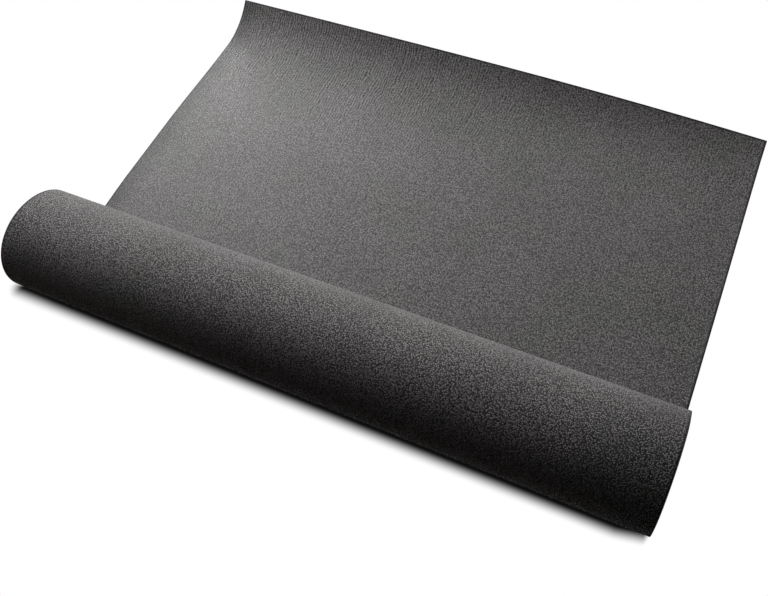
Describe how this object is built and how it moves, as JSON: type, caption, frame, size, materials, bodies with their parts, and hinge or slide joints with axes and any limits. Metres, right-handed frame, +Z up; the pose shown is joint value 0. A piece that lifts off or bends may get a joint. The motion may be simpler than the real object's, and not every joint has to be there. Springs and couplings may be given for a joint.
{
  "type": "roll of roofing felt",
  "caption": "Part-used roll of bitumen roofing felt lying on its side, open eye through its turns, with its last run laid flat behind it and the cut edge curling up.",
  "frame": {"origin": "bottom centre of the part's box, on the surface it lies on", "axes": "+X along the roll, +Y along the laid run towards its cut edge, +Z up"},
  "size_m": [1.0024, 0.7222, 0.1531],
  "materials": {
    "sanded_felt": "matt bitumen felt with a fine sanded face"
  },
  "bodies": {
    "root": {"roofing_felt": "sanded_felt"}
  },
  "joints": []
}
